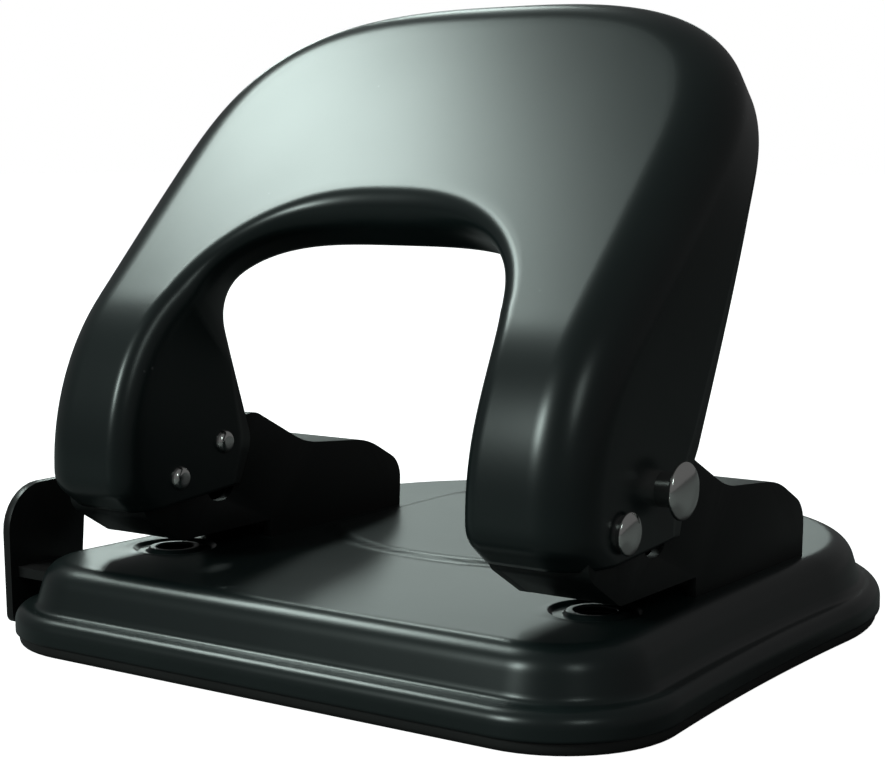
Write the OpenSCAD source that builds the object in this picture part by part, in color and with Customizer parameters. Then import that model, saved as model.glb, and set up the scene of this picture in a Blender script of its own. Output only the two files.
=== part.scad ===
// Two-hole desk punch with a pressed arch handle.
// X runs along the paper edge, +Y to the back, +Z up.
// The origin is on the table, midway between the two hole centres.

/* [Holes] */
// Distance between the two hole centres
hole_spacing = 80; // [80:1:80]
// Diameter of a punch
punch_d = 6; // [5:0.5:6]
// Clear height of the paper slot
slot_gap = 3; // [2.5:0.1:3.2]
// Depth of the paper slot behind the hole centres
slot_depth = 15; // [12:0.5:16]

/* [Base] */
// Height of the flat top of the base above the table
base_h = 13; // [13:0.5:15]
// Front edge of the base, measured from the hole line
base_front = -28.3; // [-29:0.1:-28]
// Back edge of the base, measured from the hole line
base_back = 97; // [96:0.5:98]
// Half width of the base at its waist
waist_half = 57; // [56.5:0.1:57.5]
// Radius of the hollow waist
waist_r = 500; // [400:10:600]
// Radius of the front corners
front_corner_r = 18; // [16:1:20]
// Radius of the back corners
back_corner_r = 44.5; // [43:0.5:45]
// Thickness of the base sheet
base_t = 1.2; // [1:0.1:1.5]

/* [Bracket] */
// Outside width of a bracket
bracket_w = 16; // [15:0.5:16]
// Thickness of the bracket sheet
bracket_t = 1.5; // [1.2:0.1:1.6]

/* [Handle] */
// Outside width of one leg of the handle
leg_w = 19; // [19:0.5:20]
// Thickness of the handle sheet
handle_t = 1.2; // [1:0.1:1.4]
// Half width of the arch at its widest
arch_half = 50.6; // [50:0.2:52]
// Height of the arch along its leaning face, from the hole line
arch_top = 91.5; // [90:0.5:93]
// Height of the opening along the leaning face
opening_top = 42; // [40:0.5:43]
// Angle at which the upper face rises from the horizontal
lean = 45; // [44:1:46]

/* [Mechanism] */
// Place of the handle pivot behind the hole line
pivot_y = -8.7; // [-9.5:0.1:-8]
// Height of the handle pivot above the base top
pivot_z = 13.5; // [13:0.1:14]
// Place of the press pin behind the hole line
press_y = 1.8; // [1:0.1:2.5]
// Height of the press pin above the base top
press_z = 18; // [17.5:0.1:18.5]
// Diameter of the pins
pin_d = 5; // [4.6:0.1:5]

/* [Paper guide] */
// Gap between the base's left side and the guide's upright
guide_reach = 62.5; // [61.5:0.5:64]
// Length of the guide's rule
guide_len = 104; // [96:1:106]

/* [Hidden] */
$fn = 64;

half = hole_spacing / 2;
big = 200;                       // longer than any part of the punch
running = 0.05;                  // radial clearance of a turning or sliding fit
hairline = 0.02;                 // clearance between fixed pieces
arc_steps = 8;                   // straight steps in a rounded corner of an outline

// Widths across one bracket and one leg, measured from the punch axis
cheek_out = bracket_w / 2;
cheek_in = cheek_out - bracket_t;
leg_out = leg_w / 2;
leg_in = leg_out - handle_t;

// Plan of the base: corner and waist circles that touch each other
waist_y = 30;
front_cy = base_front + front_corner_r;
back_cy = base_back - back_corner_r;
waist_cx = waist_half + waist_r;
front_cx = waist_cx - sqrt(pow(waist_r + front_corner_r, 2) - pow(waist_y - front_cy, 2));
back_cx = waist_cx - sqrt(pow(waist_r + back_corner_r, 2) - pow(waist_y - back_cy, 2));
front_turn = asin((waist_y - front_cy) / (waist_r + front_corner_r));
back_turn = asin((back_cy - waist_y) / (waist_r + back_corner_r));
rim_h = 2;                       // the sheet ends this far above the table

// Press pin, punch and spring, as heights above the base top
pin_r = pin_d / 2;
punch_r = punch_d / 2;
web_z = slot_gap + bracket_t;
head_top = press_z - pin_r - running;
head_h = 1.6;
head_r = 5.8;
collar_r = punch_r + 1.1;
collar_h = 2;
seat_h = 0.4;
spring_r = 5.15;
wire_r = 0.4;
rivet_r = 1.5;                   // shank of every rivet

// ---- outlines -------------------------------------------------------------

function unit(v) = v / norm(v);

// The numbered points of an arc that is divided into equal steps
function arc(centre, r, from, to, numbers, steps) =
  [for (i = numbers)
    let (a = from + (to - from) * i / steps)
    centre + r * [cos(a), sin(a)]];

// Points of the arc that rounds corner b, between its neighbours a and c
function corner(a, b, c, r) =
  let (
    u = unit(a - b),
    w = unit(c - b),
    half_angle = acos(u * w) / 2,
    centre = b + unit(u + w) * r / sin(half_angle),
    first = b + u * r / tan(half_angle) - centre,
    last = b + w * r / tan(half_angle) - centre,
    start = atan2(first.y, first.x),
    turn = atan2(first.x * last.y - first.y * last.x, first * last)
  )
  [for (i = [0:arc_steps])
    let (a = start + turn * i / arc_steps)
    centre + r * [cos(a), sin(a)]];

function flat(p) = [p[0], p[1]];

// A closed outline through [x, y, radius] corners
function rounded(p) =
  let (n = len(p))
  [for (i = [0:n - 1])
    each p[i][2] == 0
      ? [flat(p[i])]
      : corner(flat(p[(i + n - 1) % n]), flat(p[i]), flat(p[(i + 1) % n]), p[i][2])];

// An open path through [x, y, radius] corners, ends kept sharp
function bent(p) =
  let (n = len(p) - 1)
  [for (i = [0:n])
    each i == 0 || i == n || p[i][2] == 0
      ? [flat(p[i])]
      : corner(flat(p[i - 1]), flat(p[i]), flat(p[i + 1]), p[i][2])];

// The outline of a sheet of thickness t that follows an open path
function sheet(q, t) =
  let (
    n = len(q) - 1,
    side = [for (i = [0:n])
      let (d = unit(q[min(i + 1, n)] - q[max(i - 1, 0)]))
      [-d.y, d.x] * t / 2]
  )
  concat([for (i = [0:n]) q[i] + side[i]], [for (i = [n:-1:0]) q[i] - side[i]]);

// ---- small helpers --------------------------------------------------------

// Lays a (y, z) outline in the YZ plane and gives it a width along X
module along_x(from, to) {
  translate([from, 0, 0]) rotate([90, 0, 90]) linear_extrude(to - from) children();
}

module x_cylinder(r, from, to) {
  translate([from, 0, 0]) rotate([0, 90, 0]) cylinder(r = r, h = to - from);
}

// Low round head of radius r and height h, standing on its flat side
module dome(r, h) {
  ball_r = (r * r + h * h) / (2 * h);
  intersection() {
    translate([0, 0, h - ball_r]) sphere(r = ball_r, $fn = 96);
    cylinder(r = r, h = h);
  }
}

module at_base_top() {
  translate([0, 0, base_h]) children();
}

// ---- base -----------------------------------------------------------------

// Plan of the base, drawn in by a distance all round: back corner, hollow waist, front corner
module base_plan(inset) {
  waist_steps = 6;
  right = concat(
    arc([back_cx, back_cy], back_corner_r - inset, 90, -back_turn, [0:arc_steps], arc_steps),
    arc([waist_cx, waist_y], waist_r + inset, 180 - back_turn, 180 + front_turn,
      [1:waist_steps - 1], waist_steps),
    arc([front_cx, front_cy], front_corner_r - inset, front_turn, -90, [0:arc_steps], arc_steps)
  );
  left = [for (i = [len(right) - 1:-1:0]) [-right[i].x, right[i].y]];
  polygon(concat(right, left));
}

// How far in from the outside the edge of the base lies, at a depth below its top:
// a rounded shoulder, a sloping wall, then a bead that stands out round the rim
function edge_inset(d) =
  let (wall_h = 7, shoulder_h = 3.2, bead_h = 1.7)
  d < wall_h
    ? 3.1 + 0.3 * (wall_h - d) + 1.6 * pow(max(0, 1 - d / shoulder_h), 2)
    : bead_h * pow(max(0, 1 - (d - wall_h) / bead_h), 2);

// The edge as thin rings, each as thick as the sheet
module base_edge() {
  steps = 16;
  step_h = (base_h - rim_h) / steps;
  for (i = [0:steps - 1])
    translate([0, 0, -(i + 1) * step_h]) linear_extrude(step_h)
      difference() {
        base_plan(edge_inset((i + 1) * step_h));
        base_plan(edge_inset(i * step_h) + base_t);
      }
}

// Ring round a hole that is pressed down into the sheet
module die_moat() {
  moat_in = 4.6;
  moat_out = 6.6;
  moat_depth = 0.6;
  translate([0, 0, -moat_depth])
    difference() {
      cylinder(r = moat_out, h = base_t);
      cylinder(r = moat_in, h = base_t);
    }
}

// Low round stiffening panel between the brackets
module panel() {
  panel_r = 42;
  panel_y = 56;
  panel_h = 0.7;
  panel_half = 29;
  intersection() {
    translate([0, panel_y, -base_t / 2]) cylinder(r = panel_r, h = base_t / 2 + panel_h, $fn = 128);
    translate([-panel_half, 0, -base_t]) cube([2 * panel_half, 72, 2 * base_t]);
  }
}

guide_y = [-15.2, -4.8];         // the guide's rule runs between these
guide_z = [-4.9, -3.3];          // its underside and top, from the base top

module base_shell() color([0.10, 0.12, 0.12]) {
  slot_room = 0.4;
  at_base_top() difference() {
    union() {
      translate([0, 0, -base_t]) linear_extrude(base_t) base_plan(edge_inset(0));
      base_edge();
      panel();
    }
    for (side = [-1, 1])
      translate([side * half, 0, 0]) {
        die_moat();
        translate([0, 0, -2 * base_t]) cylinder(r = punch_r + 0.1, h = 4 * base_t);
        for (y = rivet_ys)
          translate([0, y, -2 * base_t]) cylinder(r = rivet_r + hairline, h = 4 * base_t);
      }
    for (x = clip_xs)
      translate([x, clip_rivet_y, -2 * base_t]) cylinder(r = rivet_r + hairline, h = 2 * base_t - skin_t);
    translate([-big, guide_y[0] - slot_room, guide_z[0] - slot_room])
      cube([big - half, guide_y[1] - guide_y[0] + 2 * slot_room, guide_z[1] - guide_z[0] + 2 * slot_room]);
  }
}

module chad_tray() color([0.03, 0.03, 0.03]) {
  floor_t = 1.2;
  ledge_in = 0.6;
  ledge_gap = 0.1;
  lip_in = 1.6;
  lip_t = 1.3;
  lip_h = 4.4;
  difference() {
    union() {
      linear_extrude(rim_h - ledge_gap) base_plan(ledge_in);
      linear_extrude(lip_h) base_plan(lip_in);
    }
    translate([0, 0, floor_t]) linear_extrude(base_h) base_plan(lip_in + lip_t);
  }
}

// ---- brackets -------------------------------------------------------------

foot_y = [19, 48];               // the bracket's foot plate runs between these
rivet_ys = [26, 41];             // rivets through the foot plate
notch_y = [press_y - 2.8, press_y + 4];
notch_z = 8.1;

// Side of a bracket: nose over the paper slot, hump behind the notch, long falling tail
cheek_outline = rounded([
  [-15.5, 19.8, 6],
  [-15.5, 8.2, 3.4],
  [-7, slot_gap, 2.4],
  [slot_depth, slot_gap, 0],
  [slot_depth, 0, 0],
  [51.6, 0, 0],
  [52, 8, 5],
  [42, 13.3, 18],
  [24.5, 14.9, 16],
  [11.5, 21.7, 4],
  [notch_y[1], 21.2, 1],
  [notch_y[1], notch_z, 3],
  [notch_y[0], notch_z, 3],
  [notch_y[0], 19.8, 2]
]);

// Front sheet that runs down the nose and back under it as the punch's lower guide
nose_web = sheet(bent([
  [-15.5 + bracket_t / 2, 14, 0],
  [-15.5 + bracket_t / 2, 8.6, 3.4 - bracket_t / 2],
  [-6.8, slot_gap + bracket_t / 2, 2.4],
  [slot_depth - 1, slot_gap + bracket_t / 2, 0]
]), bracket_t);

module bracket() {
  web_half = cheek_in + hairline;
  tail_from = 19;
  at_base_top() difference() {
    union() {
      for (side = [-1, 1])
        translate([side * (cheek_out + cheek_in) / 2, 0, 0])
          along_x(-bracket_t / 2, bracket_t / 2) polygon(cheek_outline);
      along_x(-web_half, web_half) polygon(nose_web);
      along_x(-web_half, web_half) difference() {
        polygon(cheek_outline);
        translate([-bracket_t, -bracket_t]) polygon(cheek_outline);
        translate([-big + tail_from, -big / 2]) square(big);
      }
      translate([-web_half, foot_y[0], 0]) cube([2 * web_half, foot_y[1] - foot_y[0], bracket_t]);
      translate([0, 0, web_z - bracket_t / 2]) cylinder(r = collar_r, h = collar_h + bracket_t / 2);
    }
    cylinder(r = punch_r + running, h = base_h);
    translate([0, pivot_y, pivot_z]) x_cylinder(pin_r + running, -bracket_w, bracket_w);
    for (y = rivet_ys)
      translate([0, y, -1]) cylinder(r = rivet_r + hairline, h = bracket_t + 2);
  }
}

module left_bracket() color([0.05, 0.06, 0.06]) translate([-half, 0, 0]) bracket();
module right_bracket() color([0.05, 0.06, 0.06]) translate([half, 0, 0]) bracket();

// Rivet from a low head under the base up to a peened head at height top
module rivet(top) {
  rotate([180, 0, 0]) translate([0, 0, base_t]) dome(2.8, 1);
  translate([0, 0, -base_t]) cylinder(r = rivet_r, h = base_t + top);
  translate([0, 0, top]) dome(2.6, 1);
}

module bracket_rivets() color([0.6, 0.6, 0.6]) {
  at_base_top()
    for (side = [-1, 1])
      for (y = rivet_ys)
        translate([side * half, y, 0]) rivet(bracket_t);
}

// ---- punches and springs --------------------------------------------------

module punch() {
  tip_z = slot_gap + 0.4;
  notch_r = 6;
  at_base_top() difference() {
    union() {
      translate([0, 0, tip_z]) cylinder(r = punch_r, h = head_top - tip_z);
      translate([0, 0, head_top - head_h]) cylinder(r = head_r, h = head_h);
    }
    translate([0, 0, tip_z - notch_r + 0.7]) x_cylinder(notch_r, -head_r, head_r);
  }
}

module left_punch() color([0.7, 0.7, 0.72]) translate([-half, 0, 0]) punch();
module right_punch() color([0.7, 0.7, 0.72]) translate([half, 0, 0]) punch();

// Round wire that climbs from height low to height high round the punch axis
module coil(low, high, turns) {
  rings = 16 * turns;
  sides = 8;
  function ring(i) =
    let (a = 360 * turns * i / rings, z = low + (high - low) * i / rings)
    [for (k = [0:sides - 1])
      let (r = spring_r + wire_r * cos(360 * k / sides))
      [r * cos(a), r * sin(a), z + wire_r * sin(360 * k / sides)]];
  points = [for (i = [0:rings]) each ring(i)];
  walls = [for (i = [0:rings - 1]) for (k = [0:sides - 1])
    let (m = (k + 1) % sides)
    [i * sides + k, (i + 1) * sides + k, (i + 1) * sides + m, i * sides + m]];
  first_end = [for (k = [0:sides - 1]) k];
  last_end = [for (k = [sides - 1:-1:0]) rings * sides + k];
  polyhedron(points = points, faces = concat(walls, [first_end, last_end]));
}

module return_spring() {
  at_base_top()
    coil(web_z + seat_h + wire_r + running, head_top - head_h - wire_r - running, 3.5);
}

module left_return_spring() color([0.6, 0.62, 0.65]) translate([-half, 0, 0]) return_spring();
module right_return_spring() color([0.6, 0.62, 0.65]) translate([half, 0, 0]) return_spring();

// Flat washer under a spring
module spring_seat() {
  at_base_top() translate([0, 0, web_z]) difference() {
    cylinder(r = 6.1, h = seat_h);
    translate([0, 0, -1]) cylinder(r = collar_r + 0.1, h = seat_h + 2);
  }
}

module left_spring_seat() color([0.5, 0.5, 0.5]) translate([-half, 0, 0]) spring_seat();
module right_spring_seat() color([0.5, 0.5, 0.5]) translate([half, 0, 0]) spring_seat();

// ---- handle ---------------------------------------------------------------

// Straight sides up from the feet, then a superellipse of the given power over the top
function arch(half_w, foot_w, top, spring_s, power) =
  let (steps = 40, foot_s = 14, below = -40)
  [
    [foot_w, below], [foot_w, foot_s],
    for (i = [0:steps])
      let (a = 180 * i / steps, c = cos(a), s = sin(a))
      [half_w * sign(c) * pow(abs(c), 2 / power), spring_s + (top - spring_s) * pow(s, 2 / power)],
    [-foot_w, foot_s], [-foot_w, below]
  ];

// Carries an outline of the leaning face, [x, height along the face], through the handle
module through_face() {
  rotate([lean, 0, 0]) translate([0, 0, -big / 2]) linear_extrude(big) children();
}

// Face of the handle in the YZ plane: turned-in foot, upright shin, knee, leaning upper face
shin_y = -21;
knee_z = 31;
crown = [shin_y + big * cos(lean), knee_z + big * sin(lean)];
face_corners = [[-16.6, 9.2, 0], [shin_y, 12.9, 4], [shin_y, knee_z, 38], [crown.x, crown.y, 0]];
face_path = bent(face_corners);

// Everything behind the face, out to the back edge of the outer walls
outer_wall_side = rounded(concat(face_corners, [
  [47, 87, 8], [26, 57, 40], [9, 17, 5], [7, 11.5, 5], [-9, 9.2, 10]
]));

// Everything behind the face, out to the back edge of the walls round the opening
inner_wall_side = rounded(concat(face_corners, [
  [80, 118, 0], [0.6, 41.4, 9], [8.6, 17.5, 5], [5.5, 11.5, 5], [-9, 9.2, 10]
]));

module handle_shell() color([0.12, 0.14, 0.14]) {
  opening_half = half - leg_out;
  rim_half = opening_half + handle_t;
  opening_s = 20;
  opening_power = 2.6;
  arch_s = 50;
  arch_power = 2.9;
  at_base_top() difference() {
    union() {
      intersection() {
        along_x(-arch_half, arch_half) polygon(sheet(face_path, handle_t));
        through_face() difference() {
          polygon(arch(arch_half, half + leg_out, arch_top, arch_s, arch_power));
          polygon(arch(opening_half, opening_half, opening_top, opening_s, opening_power));
        }
      }
      intersection() {
        along_x(-arch_half, arch_half) polygon(outer_wall_side);
        through_face() difference() {
          polygon(arch(arch_half, half + leg_out, arch_top, arch_s, arch_power));
          polygon(arch(arch_half - handle_t, half + leg_in, arch_top - handle_t, arch_s, arch_power));
        }
      }
      intersection() {
        along_x(-arch_half, arch_half) polygon(inner_wall_side);
        through_face() difference() {
          polygon(arch(rim_half, rim_half, opening_top + handle_t, opening_s, opening_power));
          polygon(arch(opening_half, opening_half, opening_top, opening_s, opening_power));
        }
      }
    }
    translate([0, pivot_y, pivot_z]) x_cylinder(pin_r + hairline, -big, big);
    translate([0, press_y, press_z]) x_cylinder(pin_r + hairline, -big, big);
  }
}

// Pin through both walls of a leg: neck and round head outside, small peened end inside
module leg_pin(neck, head_r, head_h) {
  end_r = 1.9;
  end_h = 1.1;
  x_cylinder(pin_r, -leg_out, leg_out + neck);
  translate([leg_out + neck, 0, 0]) rotate([0, 90, 0]) dome(head_r, head_h);
  translate([-leg_out, 0, 0]) rotate([0, -90, 0]) dome(end_r, end_h);
}

module pivot_pin() {
  at_base_top() translate([half, pivot_y, pivot_z]) leg_pin(0.6, 3.2, 1.7);
}

module press_pin() {
  at_base_top() translate([half, press_y, press_z]) leg_pin(3, 4.2, 2.2);
}

module left_pivot_pin() color([0.75, 0.75, 0.75]) mirror([1, 0, 0]) pivot_pin();
module right_pivot_pin() color([0.75, 0.75, 0.75]) pivot_pin();
module left_press_pin() color([0.75, 0.75, 0.75]) mirror([1, 0, 0]) press_pin();
module right_press_pin() color([0.75, 0.75, 0.75]) press_pin();

// ---- paper guide ----------------------------------------------------------

clip_xs = [-24, 24];             // rivets of the clip, along X
clip_rivet_y = 0;
clip_t = 1;
skin_t = 0.3;                    // sheet left above their blind ends, so the base top stays smooth

module paper_guide() color([0.04, 0.04, 0.04]) {
  upright_t = 1.5;
  upright = rounded([
    [-16.5, -12.6, 1.5], [-1.2, -12.6, 1.5], [0.8, 10.2, 2.5], [-16.9, 10.2, 7.5]
  ]);
  at_base_top() {
    along_x(-guide_reach, -guide_reach + upright_t) polygon(upright);
    translate([-guide_reach, guide_y[0], guide_z[0]])
      cube([guide_len, guide_y[1] - guide_y[0], guide_z[1] - guide_z[0]]);
  }
}

// Sheet strap under the base top that carries the rule
module guide_clip() color([0.55, 0.57, 0.6]) {
  room = 0.2;
  strap_w = 12;
  low = guide_z[0] - room - clip_t / 2;
  high = -base_t - clip_t / 2;
  strap = sheet(bent([
    [-19.5, high, 0], [-16.5, high, 0.8], [-16.2, low, 0.8],
    [-3.4, low, 0.8], [-3.1, high, 0.8], [3.4, high, 0]
  ]), clip_t);
  at_base_top() difference() {
    for (x = clip_xs)
      along_x(x - strap_w / 2, x + strap_w / 2) polygon(strap);
    for (x = clip_xs)
      translate([x, clip_rivet_y, -base_h]) cylinder(r = rivet_r + hairline, h = base_h);
  }
}

// Bowed leaf that presses the rule down on its straps
module guide_spring() color([0.65, 0.66, 0.68]) {
  leaf_t = 0.4;
  leaf_w = 7;
  leaf = sheet(bent([
    [-14, -base_t - leaf_t / 2, 0], [-6, -base_t - leaf_t / 2, 8],
    [0, guide_z[1] + leaf_t / 2 + hairline, 8],
    [6, -base_t - leaf_t / 2, 8], [14, -base_t - leaf_t / 2, 0]
  ]), leaf_t);
  at_base_top()
    translate([0, (guide_y[0] + guide_y[1]) / 2 + leaf_w / 2, 0])
      rotate([90, 0, 0]) linear_extrude(leaf_w) polygon(leaf);
}

module clip_rivets() color([0.6, 0.6, 0.6]) {
  at_base_top()
    for (x = clip_xs)
      translate([x, clip_rivet_y, -base_t - clip_t]) {
        cylinder(r = rivet_r, h = base_t + clip_t - skin_t);
        rotate([180, 0, 0]) dome(2.6, 0.9);
      }
}

base_shell();
chad_tray();
left_bracket();
right_bracket();
bracket_rivets();
handle_shell();
left_pivot_pin();
right_pivot_pin();
left_press_pin();
right_press_pin();
left_punch();
right_punch();
left_return_spring();
right_return_spring();
left_spring_seat();
right_spring_seat();
paper_guide();
guide_clip();
guide_spring();
clip_rivets();
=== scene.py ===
"""Desk hole punch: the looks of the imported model, in metres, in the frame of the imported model."""
import math

import bmesh
import bpy
import numpy as np
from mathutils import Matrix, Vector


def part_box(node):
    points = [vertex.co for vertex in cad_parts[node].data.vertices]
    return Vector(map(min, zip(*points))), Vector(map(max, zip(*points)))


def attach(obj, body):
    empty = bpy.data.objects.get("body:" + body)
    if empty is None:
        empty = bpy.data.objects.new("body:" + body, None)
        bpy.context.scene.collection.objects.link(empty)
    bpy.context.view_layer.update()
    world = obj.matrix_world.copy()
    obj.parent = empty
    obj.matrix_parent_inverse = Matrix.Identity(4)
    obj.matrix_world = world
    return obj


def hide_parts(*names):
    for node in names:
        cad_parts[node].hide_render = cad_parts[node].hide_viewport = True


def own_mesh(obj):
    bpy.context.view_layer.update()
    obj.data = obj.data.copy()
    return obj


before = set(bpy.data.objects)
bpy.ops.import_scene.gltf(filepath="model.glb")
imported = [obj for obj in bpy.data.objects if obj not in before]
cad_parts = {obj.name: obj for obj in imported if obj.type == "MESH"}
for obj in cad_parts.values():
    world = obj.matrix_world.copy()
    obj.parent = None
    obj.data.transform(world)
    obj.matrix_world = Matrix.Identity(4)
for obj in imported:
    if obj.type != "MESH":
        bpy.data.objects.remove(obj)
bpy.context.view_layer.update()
MM = 0.001

# ---- Camera -----------------------------------------------------------------
# A long lens from the front right, a little above the handle's knee, looking slightly down.

camera_data = bpy.data.cameras.new("camera")
camera_data.sensor_width = 36.0
camera_data.lens = 78.05
camera = bpy.data.objects.new("camera", camera_data)
camera.location = (174.27 * MM, -228.93 * MM, 76.79 * MM)
camera.rotation_euler = (math.radians(90 - 6.81), math.radians(0.22), math.radians(34.99))
bpy.context.scene.collection.objects.link(camera)
bpy.context.scene.camera = camera

# ---- Base -------------------------------------------------------------------
# One steel pressing: a flat top, a rounded shoulder, a sloping wall and a bead round the rim,
# with a die round each hole and a low raised panel behind them. Sprayed satin black.

base_lo, base_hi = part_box("base_shell")
tray_lo, tray_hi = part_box("chad_tray")
punch_lo, punch_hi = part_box("right_punch")
base_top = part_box("right_bracket")[0].z
hole_x = (punch_lo.x + punch_hi.x) / 2
sheet_t = 1.2 * MM

# Plan of the base: corner and waist circles that touch each other
front_r, back_r, waist_r = 18 * MM, 44.5 * MM, 500 * MM
waist_x, waist_y = 57 * MM + waist_r, 30 * MM
front_y, back_y = base_lo.y + front_r, base_hi.y - back_r
front_x = waist_x - math.sqrt((waist_r + front_r) ** 2 - (waist_y - front_y) ** 2)
back_x = waist_x - math.sqrt((waist_r + back_r) ** 2 - (back_y - waist_y) ** 2)
front_turn = math.asin((waist_y - front_y) / (waist_r + front_r))
back_turn = math.asin((back_y - waist_y) / (waist_r + back_r))


def plan_side(inset, steps):
    """Points and outward normals down the right side of the plan, drawn in by an inset.

    Each stretch is centre + radius * (cos a, sin a): front corner, hollow waist, back corner.
    """
    points, normals = [], []
    for cx, cy, radius, start, end, n, outward in (
        (front_x, front_y, front_r - inset, -math.pi / 2, front_turn, steps[0], 1),
        (waist_x, waist_y, waist_r + inset, math.pi + front_turn, math.pi - back_turn, steps[1], -1),
        (back_x, back_y, back_r - inset, -back_turn, math.pi / 2, steps[2], 1),
    ):
        a = np.linspace(start, end, n + 1)
        ray = np.stack([np.cos(a), np.sin(a)], 1)
        first = 1 if points else 0
        points.append((np.array([cx, cy]) + radius * ray)[first:])
        normals.append((outward * ray)[first:])
    return np.concatenate(points), np.concatenate(normals)


def bent(corners, steps=8):
    """A path through (x, y, radius) corners, each corner replaced by the arc that touches both sides."""
    corners = np.array(corners, float)
    path = [corners[:1, :2]]
    for before, (bx, by, radius), after in zip(corners[:-2, :2], corners[1:-1], corners[2:, :2]):
        b = np.array([bx, by])
        u = (before - b) / np.linalg.norm(before - b)
        w = (after - b) / np.linalg.norm(after - b)
        half_angle = math.acos(np.clip(u @ w, -1, 1)) / 2
        centre = b + (u + w) / np.linalg.norm(u + w) * radius / math.sin(half_angle)
        first = b + u * radius / math.tan(half_angle) - centre
        last = b + w * radius / math.tan(half_angle) - centre
        turn = math.atan2(first[0] * last[1] - first[1] * last[0], first @ last)
        a = math.atan2(first[1], first[0]) + np.linspace(0, turn, steps + 1)
        path.append(centre + radius * np.stack([np.cos(a), np.sin(a)], 1))
    path.append(corners[-1:, :2])
    return np.concatenate(path)


def spaced(path, count):
    """The same path as count points at equal distances along it."""
    along = np.concatenate([[0], np.cumsum(np.linalg.norm(np.diff(path, axis=0), axis=1))])
    at = np.linspace(0, along[-1], count)
    return np.stack([np.interp(at, along, path[:, k]) for k in range(path.shape[1])], 1)


def grid_faces(rows, columns, first=0, around=False):
    """Four corners of every cell of a rows x columns grid of points, closed into a ring if around."""
    r, c = np.meshgrid(np.arange(rows - 1), np.arange(columns - (0 if around else 1)), indexing="ij")
    nxt = (c + 1) % columns
    cells = [r * columns + c, r * columns + nxt, (r + 1) * columns + nxt, (r + 1) * columns + c]
    return first + np.stack(cells, -1).reshape(-1, 4)


def piece(name, points, faces, body, slot, material, replaced=(), weld=0.0):
    """A mesh object of the given points and faces that rides on a body and wears a material."""
    mesh = bpy.data.meshes.new(name)
    mesh.from_pydata(np.asarray(points).tolist(), [], np.asarray(faces).tolist())
    if weld:
        bm = bmesh.new()
        bm.from_mesh(mesh)
        bmesh.ops.remove_doubles(bm, verts=bm.verts, dist=weld)
        bm.to_mesh(mesh)
        bm.free()
    mesh.validate()
    mesh.shade_smooth()
    mesh.materials.append(material)
    made = bpy.data.objects.new(name, mesh)
    bpy.context.scene.collection.objects.link(made)
    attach(made, body)
    if replaced:
        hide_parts(*replaced)
    return made


def solidify(made, thickness):
    """Gives a surface its sheet thickness on the inner side."""
    modifier = made.modifiers.new("sheet", "SOLIDIFY")
    modifier.thickness = thickness
    modifier.offset = -1
    modifier.use_even_offset = False


def new_group(name, inputs, outputs):
    """An empty shader group with float inputs (name, value) and outputs (name, socket type)."""
    group = bpy.data.node_groups.new(name, "ShaderNodeTree")
    for label, value in inputs:
        socket = group.interface.new_socket(label, in_out="INPUT", socket_type="NodeSocketFloat")
        socket.default_value = value
    for label, kind in outputs:
        group.interface.new_socket(label, in_out="OUTPUT", socket_type=kind)
    return group, group.nodes.new("NodeGroupInput"), group.nodes.new("NodeGroupOutput")


def noise(tree, vector, scale, detail=2.0):
    """A noise texture node on a vector."""
    node = tree.nodes.new("ShaderNodeTexNoise")
    node.inputs["Detail"].default_value = detail
    tree.links.new(vector, node.inputs["Vector"])
    if isinstance(scale, (int, float)):
        node.inputs["Scale"].default_value = scale
    else:
        tree.links.new(scale, node.inputs["Scale"])
    return node


def ramp(tree, value, low, high, to_low, to_high):
    """Maps a value from one range to another, clamped."""
    node = tree.nodes.new("ShaderNodeMapRange")
    for label, number in (("From Min", low), ("From Max", high), ("To Min", to_low), ("To Max", to_high)):
        if isinstance(number, (int, float)):
            node.inputs[label].default_value = number
        else:
            tree.links.new(number, node.inputs[label])
    tree.links.new(value, node.inputs["Value"])
    return node.outputs["Result"]


def finish_group():
    """Shared surface effects: fine grain for the bump, slow blotches for the tone, sparse dust."""
    group, given, out = new_group(
        "surface",
        [("Grain", 900.0), ("Blotch", 28.0), ("Speck", 0.7)],
        [("Grain height", "NodeSocketFloat"), ("Tone", "NodeSocketFloat"), ("Dust", "NodeSocketFloat")],
    )
    place = group.nodes.new("ShaderNodeTexCoord").outputs["Object"]
    grain = noise(group, place, given.outputs["Grain"], 3.0)
    blotch = noise(group, place, given.outputs["Blotch"], 4.0)
    specks = group.nodes.new("ShaderNodeTexVoronoi")
    specks.inputs["Scale"].default_value = 420.0
    group.links.new(place, specks.inputs["Vector"])
    near = ramp(group, specks.outputs["Distance"], 0.0, 0.16, 1.0, 0.0)
    rare = ramp(group, noise(group, place, 95.0, 1.0).outputs["Fac"], given.outputs["Speck"], 0.8, 0.0, 1.0)
    both = group.nodes.new("ShaderNodeMath")
    both.operation = "MULTIPLY"
    group.links.new(near, both.inputs[0])
    group.links.new(rare, both.inputs[1])
    group.links.new(grain.outputs["Fac"], out.inputs["Grain height"])
    group.links.new(blotch.outputs["Fac"], out.inputs["Tone"])
    group.links.new(both.outputs[0], out.inputs["Dust"])
    return group


surface = finish_group()


dust = (0.3, 0.3, 0.3, 1)


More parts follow.
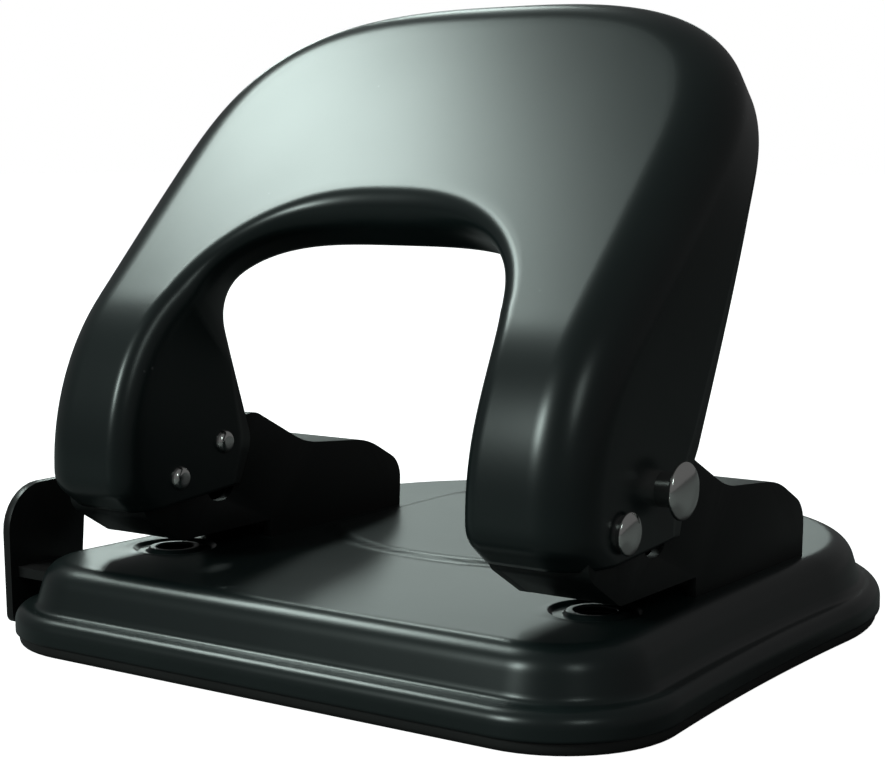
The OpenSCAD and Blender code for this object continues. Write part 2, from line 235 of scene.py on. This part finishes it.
def finish(name, dark, light, rough, bump, grain=900.0, metallic=0.0, specular=0.5):
    """A Principled material whose tone, roughness and bump come from the shared surface group."""
    material = bpy.data.materials.new(name)
    material.use_nodes = True
    tree = material.node_tree
    shader = tree.nodes["Principled BSDF"]
    effects = tree.nodes.new("ShaderNodeGroup")
    effects.node_tree = surface
    effects.inputs["Grain"].default_value = grain
    tone = tree.nodes.new("ShaderNodeMix")
    tone.data_type = "RGBA"
    tone.inputs[6].default_value = (*dark, 1)
    tone.inputs[7].default_value = (*light, 1)
    tree.links.new(ramp(tree, effects.outputs["Tone"], 0.35, 0.65, 0.0, 1.0), tone.inputs[0])
    dusty = tree.nodes.new("ShaderNodeMix")
    dusty.data_type = "RGBA"
    dusty.inputs[7].default_value = dust
    tree.links.new(effects.outputs["Dust"], dusty.inputs[0])
    tree.links.new(tone.outputs[2], dusty.inputs[6])
    tree.links.new(dusty.outputs[2], shader.inputs["Base Color"])
    tree.links.new(ramp(tree, effects.outputs["Tone"], 0.3, 0.7, *rough), shader.inputs["Roughness"])
    relief = tree.nodes.new("ShaderNodeBump")
    relief.inputs["Strength"].default_value = bump
    relief.inputs["Distance"].default_value = 0.05 * MM
    tree.links.new(effects.outputs["Grain height"], relief.inputs["Height"])
    tree.links.new(relief.outputs["Normal"], shader.inputs["Normal"])
    shader.inputs["Metallic"].default_value = metallic
    shader.inputs["Specular IOR Level"].default_value = specular
    return material


paint = finish("black_paint", (0.006, 0.011, 0.011), (0.009, 0.015, 0.015), (0.28, 0.3), 0.05)

# The edge of the pressing as (inset, height above the top, radius): shoulder, wall, groove, bead, rim
top_inset = 9 * MM
groove_z = -7 * MM
rim_z = base_lo.z - base_top
edge = bent([
    (top_inset, 0, 0),
    (5.4 * MM, 0, 4.2 * MM),
    (3.3 * MM, groove_z, 1.3 * MM),
    (0, groove_z, 2.3 * MM),
    (0, rim_z, 0),
], steps=9)
edge = spaced(edge, 40)

# The raised panel: a round front between straight sides, fading out towards the back
panel_h, panel_y, panel_r, panel_half, panel_back = 0.7 * MM, 56 * MM, 42 * MM, 30 * MM, 76 * MM


def top_height(x, y):
    """Height of the pressed top: the panel's height times three smooth steps, each 3 t^2 - 2 t^3."""
    front = np.clip((panel_r - np.hypot(x, y - panel_y)) / (2.4 * MM), 0, 1)
    side = np.clip((panel_half - np.abs(x)) / (2 * MM), 0, 1)
    fade = np.clip((panel_back - y) / (14 * MM), 0, 1)
    return panel_h * math.prod(t * t * (3 - 2 * t) for t in (front, side, fade))


# Die round a hole as (radius, height, rounding): hole edge, flat land, pressed-down moat, outer ring
die_r, land_z, moat_z = 3.1 * MM, 0.12 * MM, -0.6 * MM
die = bent([
    (die_r, -0.5 * MM, 0),
    (die_r, land_z, 0.25 * MM),
    (4.1 * MM, land_z, 0.4 * MM),
    (4.7 * MM, moat_z, 0.5 * MM),
    (6.1 * MM, moat_z, 0.6 * MM),
    (6.8 * MM, 0.1 * MM, 0.5 * MM),
    (7.6 * MM, 0, 0),
], steps=4)


def plan_grid(inset, steps, columns):
    """Points (x, y) over the plan: rows from front to back, each scaled to the plan's width there."""
    side, normal = plan_side(inset, steps)
    x = side[:, :1] * np.linspace(-1, 1, columns)
    return np.stack([x, np.repeat(side[:, 1:], columns, 1)], -1), normal


def outline(grid):
    """The grid's border once round, anticlockwise from the front left corner."""
    return np.concatenate([grid[0, :-1], grid[:-1, -1], grid[-1, :0:-1], grid[:0:-1, 0]])


def outline_normals(normal, columns):
    """Outward normals for the same border: front row, right side, back row, left side."""
    count = columns - 1
    mirrored = normal[:0:-1] * [-1, 1]
    front, back = np.tile([0.0, -1.0], (count, 1)), np.tile([0.0, 1.0], (count, 1))
    return np.concatenate([front, normal[:-1], back, mirrored])


def rings(loop, normals, start_inset, profile, level):
    """Rings round the plan, one for each (inset, height) of a profile, moved along the normals."""
    out = loop[None] + normals[None] * (start_inset - profile[:, 0])[:, None, None]
    z = np.broadcast_to(level + profile[:, 1][:, None, None], (*out.shape[:2], 1))
    return np.concatenate([out, z], -1)


def joined(parts):
    """Points and faces of several (points, faces) parts as one pair."""
    starts = np.cumsum([0] + [len(points) for points, _ in parts[:-1]])
    faces = [own + start for (_, own), start in zip(parts, starts)]
    return np.concatenate([points for points, _ in parts]), np.concatenate(faces)


def base_surface():
    """The plan's grid raised by top_height, with a window round each hole filled by rings of the
    die's profile, and rings of the edge's profile down to the rim."""
    columns = 145
    xy, normal = plan_grid(top_inset, (22, 72, 44), columns)
    top = np.concatenate([xy, base_top + top_height(*np.moveaxis(xy, -1, 0))[..., None]], -1)
    cells = np.ones((len(top) - 1, columns - 1), bool)
    parts = []
    window = 8.4 * MM
    for hole in (-hole_x, hole_x):
        r, c = np.nonzero((np.abs(top[..., 0] - hole) < window) & (np.abs(top[..., 1]) < window))
        r0, r1, c0, c1 = r.min(), r.max(), c.min(), c.max()
        cells[r0:r1, c0:c1] = False
        loop = outline(top[r0:r1 + 1, c0:c1 + 1])
        ray = loop[:, :2] - [hole, 0]
        ray = ray / np.linalg.norm(ray, axis=1)[:, None]
        circles = [np.column_stack([[hole, 0] + radius * ray, np.full(len(ray), base_top + height)])
                   for radius, height in die[::-1]]
        parts.append((np.concatenate([loop, *circles]), grid_faces(len(die) + 1, len(loop), around=True)))
    parts.append((top.reshape(-1, 3), grid_faces(*top.shape[:2])[cells.ravel()]))
    down = rings(outline(xy), outline_normals(normal, columns), top_inset, edge, base_top)
    parts.append((down.reshape(-1, 3), grid_faces(*down.shape[:2], around=True)[:, ::-1]))
    return joined(parts)


weld_gap = 0.004 * MM
base = piece("base_pressing", *base_surface(), "base", "black_paint", paint, ["base_shell"], weld_gap)
solidify(base, sheet_t)

# ---- Chip tray --------------------------------------------------------------
# A shallow tray of black plastic under the base: its ledge shows below the rim and its lip grips
# the inside of the pressing, so it pulls off downwards.

plastic = finish(
    "black_plastic", (0.008, 0.008, 0.008), (0.012, 0.012, 0.0115), (0.42, 0.5), 0.12, grain=1500.0
)
cap_inset = 8 * MM
ledge_inset, lip_out, lip_in = 0.6 * MM, 1.6 * MM, 2.9 * MM
ledge_z, lip_z, floor_z = 1.9 * MM, tray_hi.z, 1.2 * MM
tray_edge = bent([
    (cap_inset, 0, 0),
    (ledge_inset, 0, 0.8 * MM),
    (ledge_inset, ledge_z, 0.25 * MM),
    (lip_out, ledge_z, 0.15 * MM),
    (lip_out, lip_z, 0.4 * MM),
    (lip_in, lip_z, 0.4 * MM),
    (lip_in, floor_z, 0.8 * MM),
    (cap_inset, floor_z, 0),
], steps=5)


def tray_surface():
    """A floor grid below, a floor grid above, and rings of the tray's edge between them."""
    columns = 61
    xy, normal = plan_grid(cap_inset, (16, 24, 24), columns)
    parts = []
    for z, step in ((0.0, -1), (floor_z, 1)):
        floor = np.concatenate([xy, np.full((*xy.shape[:2], 1), tray_lo.z + z)], -1)
        parts.append((floor.reshape(-1, 3), grid_faces(*floor.shape[:2])[:, ::step]))
    up = rings(outline(xy), outline_normals(normal, columns), cap_inset, tray_edge, tray_lo.z)
    parts.append((up.reshape(-1, 3), grid_faces(*up.shape[:2], around=True)))
    return joined(parts)


piece("chip_tray", *tray_surface(), "tray", "black_plastic", plastic, ["chad_tray"], weld_gap)

# ---- Brackets ---------------------------------------------------------------
# Each is folded from sheet steel: two cheeks joined over the nose and the tail, riveted on the
# base through a foot plate. Their edges are tumbled round and enamelled black.

enamel = finish(
    "black_enamel", (0.003, 0.0045, 0.0045), (0.005, 0.0065, 0.0065), (0.42, 0.5), 0.06, specular=0.3
)


def softened(node, name, body, material, width):
    """A copy of a CAD node with its sharp edges rounded to a width."""
    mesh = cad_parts[node].data.copy()
    mesh.name = name
    bm = bmesh.new()
    bm.from_mesh(mesh)
    bmesh.ops.remove_doubles(bm, verts=bm.verts, dist=0.002 * MM)
    bm.to_mesh(mesh)
    bm.free()
    mesh.shade_smooth()
    mesh.materials.clear()
    mesh.materials.append(material)
    made = bpy.data.objects.new(name, mesh)
    bpy.context.scene.collection.objects.link(made)
    bevel = made.modifiers.new("edges", "BEVEL")
    bevel.width = width
    bevel.segments = 3
    bevel.limit_method = "ANGLE"
    bevel.angle_limit = math.radians(35)
    bevel.harden_normals = True
    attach(made, body)
    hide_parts(node)
    return made


for side in ("left", "right"):
    softened(f"{side}_bracket", f"{side}_bracket_folded", "base", enamel, 0.4 * MM)

# ---- Rivets, spring seats and guide straps ------------------------------------
# Zinc plated steel: four rivets hold the foot plates and two hold the straps that carry the paper
# guide, and a flat seat lies under each return spring. They keep the shapes they came with.

zinc = finish("zinc_steel", (0.42, 0.43, 0.45), (0.52, 0.53, 0.55), (0.3, 0.45), 0.15, metallic=1.0)


def dress(node, material):
    """Puts a material on a CAD node that keeps its own shape."""
    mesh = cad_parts[node].data
    mesh.materials.clear()
    mesh.materials.append(material)


for node in ("bracket_rivets", "clip_rivets", "guide_clip", "left_spring_seat", "right_spring_seat"):
    dress(node, zinc)

# ---- Punches and return springs ----------------------------------------------
# Ground tool steel rods with a mushroom head, each in a spring of drawn wire that lifts it.
# The coil is built at rest on the base and does not shorten as the punch goes down.

tool_steel = finish(
    "tool_steel", (0.34, 0.34, 0.345), (0.42, 0.42, 0.42), (0.22, 0.32), 0.1, grain=2200.0, metallic=1.0
)
spring_steel = finish(
    "spring_steel", (0.3, 0.31, 0.33), (0.4, 0.41, 0.43), (0.25, 0.35), 0.1, metallic=1.0
)


def helix(centre_x, low, high, radius, wire, turns):
    """A round wire: a circle of the wire's radius carried along (r cos a, r sin a, rising z), its
    first and last half turns lying flat, with a domed cap at each end."""
    a = np.linspace(0, 2 * math.pi * turns, 40 * turns)
    b = np.linspace(0, 2 * math.pi, 14, endpoint=False)
    rise = np.clip((a / (2 * math.pi) - 0.5) / (turns - 1), 0, 1)
    z = low + wire + (high - low - 2 * wire) * rise
    thick = np.ones(len(a))
    thick[[0, -1]] = 0.02
    r = radius + wire * np.cos(b) * thick[:, None]
    points = np.stack([
        centre_x + r * np.cos(a)[:, None],
        r * np.sin(a)[:, None],
        z[:, None] + wire * np.sin(b) * thick[:, None],
    ], -1)
    return points.reshape(-1, 3), grid_faces(len(a), len(b), around=True)


wire_r = 0.4 * MM
for side, sign in (("left", -1), ("right", 1)):
    dress(f"{side}_punch", tool_steel)
    low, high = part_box(f"{side}_return_spring")
    coil = piece(
        f"{side}_spring_coil",
        *helix(sign * hole_x, low.z, high.z, (high.x - low.x) / 2 - wire_r, wire_r, 5),
        "base", "spring_steel", spring_steel, [f"{side}_return_spring"], weld=0.02 * MM,
    )
    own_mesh(coil)

# ---- Handle -----------------------------------------------------------------
# One deep pressing: an arch that leans back at 45 degrees on two upright legs. Its broad face
# rolls over into walls outside and round the opening, and it is sprayed like the base.

# Outlines in the leaning plane: half width, height s of the top and of the spring line, power
half_sheet = 0.6 * MM
leg_out, leg_in = 49.5 * MM, 30.5 * MM
arch_half, arch_top, arch_s, arch_power = 50.6 * MM, 91.5 * MM, 50 * MM, 2.9
opening_top = 42 * MM
mouth_s, mouth_power = 6 * MM, 2.5  # the opening in the face closes in from low down
back_s, back_power = 22 * MM, 3.4   # the opening at the walls' back edges is squarer
split_s = 24 * MM                   # below this height the rows fan out to the foot

# Side lines as (y, height above the base top, radius): the face, and the back edges of both walls
shin_y = -21 * MM - half_sheet
knee_z = 31 * MM + half_sheet * math.tan(math.radians(22.5))
reach = 90 * MM
face_line = bent([
    (-16.9 * MM, 8.9 * MM, 0),
    (shin_y, 12.7 * MM, 4.4 * MM),
    (shin_y, knee_z, 38.6 * MM),
    (shin_y + reach, knee_z + reach, 0),
], steps=16)
outer_back = bent([
    (7 * MM, 10.6 * MM, 0),
    (9 * MM, 17 * MM, 5 * MM),
    (26 * MM, 57 * MM, 40 * MM),
    (47 * MM, 87 * MM, 8 * MM),
    (120 * MM, 172 * MM, 0),
], steps=10)
inner_back = bent([
    (5.5 * MM, 10.6 * MM, 0),
    (8.6 * MM, 17.5 * MM, 5 * MM),
    (0.6 * MM, 41.4 * MM, 9 * MM),
    (80 * MM, 118 * MM, 0),
], steps=10)


def along_lean(line):
    """Height s along the leaning face, (y + z) / sqrt 2, of the points of a side line."""
    return (line[:, 0] + line[:, 1]) / math.sqrt(2)


def cut(line, s_end, count):
    """The first stretch of a side line, up to height s_end, as equally spaced points."""
    s = along_lean(line)
    k = np.nonzero(s > s_end)[0][0]
    part = (s_end - s[k - 1]) / (s[k] - s[k - 1])
    return spaced(np.concatenate([line[:k], [line[k - 1] + part * (line[k] - line[k - 1])]]), count)


def at_height(line, s):
    """Points of a side line at given heights s, above its first stretch."""
    own = along_lean(line)
    k = np.argmin(own)
    return np.stack([np.interp(s, own[k:], line[k:, 0]), np.interp(s, own[k:], line[k:, 1])], -1)


def arch_line(half, top, spring, power, foot):
    """Right half of an arch from split_s up: x = half * (1 - ((s - spring) / rise) ^ power) ^ (1 / power),
    easing from the foot's half width below the spring line."""
    a = np.linspace(0, math.pi / 2, 400)
    rise = spring + (top - spring) * np.sin(a) ** (2 / power)
    curve = np.stack([half * np.cos(a) ** (2 / power), rise], -1)
    if spring > split_s:
        s = np.linspace(split_s, spring, 60)[:-1]
        t = s / spring
        curve = np.concatenate([np.stack([foot + (half - foot) * t * t * (3 - 2 * t), s], -1), curve])
    return curve[curve[:, 1] >= split_s]


def eased(line):
    """A column that goes smoothly, as 3 t^2 - 2 t^3, from 0 at the foot to 1 at the arch's spring line."""
    t = np.clip(along_lean(line) / arch_s, 0, 1)[:, None]
    return t * t * (3 - 2 * t)


def half_width(s, half, top, spring, power):
    """Half width of an opening at height s: half * (1 - share ^ power) ^ (1 / power), where share is
    (s - spring) / (top - spring)."""
    share = np.clip((s - spring) / (top - spring), 0, 1)
    return half * (1 - share ** power) ** (1 / power)


def handle_surface():
    """Rows from the right foot over the top to the left foot. A row runs from the back edge of the
    outer wall, over an elliptical corner, across the face, over the inner corner, to the back
    edge of the inner wall. Legs are rows fanned out from the foot; the arch is rows at right
    angles to the leaning face, between two superellipses."""
    leg_rows, arch_rows = 44, 96
    face_leg = cut(face_line, split_s, leg_rows)
    x_out = leg_out + (arch_half - leg_out) * eased(face_leg)
    x_in = half_width(along_lean(face_leg), leg_in, opening_top, mouth_s, mouth_power)[:, None]
    outer = spaced(arch_line(arch_half, arch_top, arch_s, arch_power, leg_out), arch_rows)[1:]
    mouth = spaced(arch_line(leg_in, opening_top, mouth_s, mouth_power, leg_in), arch_rows)[1:]
    back = spaced(arch_line(leg_in, opening_top, back_s, back_power, leg_in), arch_rows)[1:]

    out_face = np.concatenate([np.hstack([x_out, face_leg]),
                               np.hstack([outer[:, :1], at_height(face_line, outer[:, 1])])])
    in_face = np.concatenate([np.hstack([x_in, face_leg]),
                              np.hstack([mouth[:, :1], at_height(face_line, mouth[:, 1])])])
    out_back = np.concatenate([cut(outer_back, split_s, leg_rows), at_height(outer_back, outer[:, 1])])
    back_leg = cut(inner_back, split_s, leg_rows)
    x_back = half_width(along_lean(back_leg), leg_in, opening_top, back_s, back_power)[:, None]
    in_back = np.concatenate([np.hstack([x_back, back_leg]),
                              np.hstack([back[:, :1], at_height(inner_back, back[:, 1])])])
    out_back = np.hstack([out_face[:, :1], out_back])

    def across(curve, sign):
        """Unit vectors in the face, at right angles to an outline, pointing into the band."""
        tangent = np.gradient(curve, axis=0)
        tangent[:leg_rows] = [0, 0, 1]
        tangent[-1] = [-1, 0, 0]
        uphill = np.array([0, 1, 1]) / math.sqrt(2)
        flat = np.stack([tangent[:, 0], tangent @ uphill], -1)
        flat = flat / np.linalg.norm(flat, axis=1)[:, None]
        turned = np.stack([-flat[:, 1], flat[:, 0]], -1) * sign
        return turned[:, :1] * [1, 0, 0] + turned[:, 1:] * uphill

    def corner(face, back, inward, wide, deep, count):
        """Points of a wall and its rounded corner, from the back edge to the flat of the face."""
        length = np.linalg.norm(back - face, axis=1)[:, None]
        sink = (back - face) / length
        deep = np.minimum(deep, 0.8 * length)
        wall = np.linspace(1, 0, 9)[:-1]
        a = np.linspace(0, math.pi / 2, count)
        depth = np.concatenate([deep + (length - deep) * wall, deep * (1 - np.sin(a))], 1)
        shift = np.concatenate([0 * wall + 0 * length, wide * (1 - np.cos(a)) + 0 * length], 1)
        return face[:, None] + sink[:, None] * depth[..., None] + inward[:, None] * shift[..., None]

    wider = 1.0 * MM * eased(out_face[:, 1:])
    out_side = corner(out_face, out_back, across(out_face, 1), 7.5 * MM + wider, 7.5 * MM, 20)
    in_side = corner(in_face, in_back, across(in_face, -1), 3.6 * MM + wider, 5 * MM, 16)
    share = np.linspace(0, 1, 22)[1:-1, None]
    middle = out_side[:, -1:] + (in_side[:, -1:] - out_side[:, -1:]) * share
    right = np.concatenate([out_side, middle, in_side[:, ::-1]], 1)
    left = right[-2::-1] * [-1, 1, 1]
    points = np.concatenate([right, left]) + [0, 0, base_top]
    return points.reshape(-1, 3), grid_faces(*points.shape[:2])[:, ::-1]


handle = piece("handle_pressing", *handle_surface(), "handle", "black_paint", paint, ["handle_shell"])
solidify(handle, sheet_t)

# ---- Handle pins -------------------------------------------------------------
# Nickel plated rivets with domed heads. The lower pair is the handle's pivot. The upper pair runs
# through the legs only, bears on the punch heads, and stands off on a visible neck.

nickel = finish("nickel", (0.8, 0.8, 0.78), (0.88, 0.88, 0.86), (0.12, 0.2), 0.05, metallic=1.0)


def turned(profile, centre_y, centre_z, sign):
    """A profile of (x, radius) points swept once round the X axis through a centre."""
    a = np.linspace(0, 2 * math.pi, 72, endpoint=False)
    x = np.repeat(profile[:, :1], len(a), 1) * sign
    points = np.stack([x, centre_y + profile[:, 1:] * np.cos(a), centre_z + profile[:, 1:] * np.sin(a)], -1)
    return points.reshape(-1, 3), grid_faces(len(profile), len(a), around=True)[:, ::int(sign)]


def pin_profile(neck, head_r, head_h):
    """(x, radius) along a pin, in mm: peened inner end, shank, and a head whose dome is a quarter
    ellipse (rim + (h - rim) sin a, r cos a)."""
    inner, under = leg_in / MM, leg_out / MM + neck
    rim, shank_r, end_r, centre = 0.3, 2.5, 1.9, 0.01
    shank = bent([
        (inner - 1.1, centre, 0),
        (inner - 1.1, 1.6, 1.0),
        (inner - 0.1, end_r, 0.3),
        (inner + 0.6, end_r, 0.0),
        (inner + 0.6, shank_r, 0.0),
        (under, shank_r, 0.2),
        (under, head_r, 0.15),
        (under + rim, head_r, 0),
    ], steps=8)
    a = np.linspace(0, math.pi / 2, 17)[:-1]
    dome = np.column_stack([under + rim + (head_h - rim) * np.sin(a), head_r * np.cos(a)])
    return np.concatenate([shank[:-1], dome, [[under + head_h, centre]]])


for kind, neck, head_r, head_h in (("pivot", 0.6, 3.0, 1.1), ("press", 3.0, 4.1, 1.5)):
    profile = pin_profile(neck, head_r, head_h) * MM
    for side, sign in (("left", -1), ("right", 1)):
        low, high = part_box(f"{side}_{kind}_pin")
        piece(
            f"{side}_{kind}_rivet",
            *turned(profile, (low.y + high.y) / 2, (low.z + high.z) / 2, sign),
            "handle", "nickel", nickel, [f"{side}_{kind}_pin"], weld=0.015 * MM,
        )

# ---- Paper guide -------------------------------------------------------------
# A moulded rule with an upright stop at its left end. It slides under the base top in two straps
# and a bowed leaf spring brakes it.

guide_plastic = finish(
    "guide_plastic", (0.006, 0.006, 0.006), (0.01, 0.01, 0.01), (0.3, 0.4), 0.08, grain=1300.0
)
softened("paper_guide", "paper_guide_rule", "guide", guide_plastic, 0.3 * MM)
dress("guide_spring", spring_steel)

# ---- Table and light -----------------------------------------------------------
# A plain white table that runs out of sight, under small soft boxes: a strong one high on the left
# for the arch, one at the front for the legs, and weak ones behind that glance off the base.

floor_mesh = bpy.data.meshes.new("table")
span = 6.0
table_corners = [(-span, -span, 0), (span, -span, 0), (span, span, 0), (-span, span, 0)]
floor_mesh.from_pydata(table_corners, [], [(0, 1, 2, 3)])
table = bpy.data.objects.new("table", floor_mesh)
bpy.context.scene.collection.objects.link(table)
white = bpy.data.materials.new("table_white")
white.use_nodes = True
tree = white.node_tree
shader = tree.nodes["Principled BSDF"]
shader.inputs["Roughness"].default_value = 0.7
shader.inputs["Emission Color"].default_value = (1, 1, 1, 1)
seen = tree.nodes.new("ShaderNodeLightPath").outputs["Is Camera Ray"]
tree.links.new(ramp(tree, seen, 0.0, 1.0, 0.16, 0.8), shader.inputs["Base Color"])
tree.links.new(ramp(tree, seen, 0.0, 1.0, 0.0, 0.97), shader.inputs["Emission Strength"])
floor_mesh.materials.append(white)

world = bpy.data.worlds.new("studio")
world.use_nodes = True
bpy.context.scene.world = world
tree = world.node_tree
seen = tree.nodes.new("ShaderNodeLightPath").outputs["Is Camera Ray"]
tree.links.new(ramp(tree, seen, 0.0, 1.0, 0.11, 1.0), tree.nodes["Background"].inputs["Strength"])
tree.nodes["Background"].inputs["Color"].default_value = (1, 1, 1, 1)


def softbox(name, place, target, size, power):
    """A rectangular area light at a place, facing a target, of a slightly cool white."""
    data = bpy.data.lights.new(name, "AREA")
    data.shape = "RECTANGLE"
    data.size, data.size_y = size
    data.energy = power
    data.color = (0.84, 1.0, 0.95)
    lamp = bpy.data.objects.new(name, data)
    lamp.location = place
    gaze = np.array(target) - np.array(place)
    lamp.rotation_euler = (
        math.acos(-gaze[2] / np.linalg.norm(gaze)),
        0,
        math.atan2(gaze[1], gaze[0]) - math.pi / 2,
    )
    lamp.visible_camera = False
    bpy.context.scene.collection.objects.link(lamp)


softbox("key", (-0.66, 0.0, 0.87), (0, 0.02, 0.07), (0.3, 0.18), 3.4)
softbox("front", (-0.27, -0.76, 0.47), (0.04, -0.02, 0.03), (0.12, 0.22), 2.8)
softbox("shoulder", (-0.57, 0.66, 0.62), (0, -0.02, 0.01), (0.16, 0.12), 0.6)
softbox("side", (0.66, -0.5, 0.6), (0.04, -0.02, 0.03), (0.12, 0.25), 0.5)
softbox("left", (-0.82, 0.78, 0.37), (0, 0.02, 0), (0.16, 0.12), 0.5)
softbox("behind", (-0.75, 1.25, 0.36), (0, 0.02, 0), (0.6, 0.2), 0.7)

bpy.context.scene.view_settings.view_transform = "Standard"
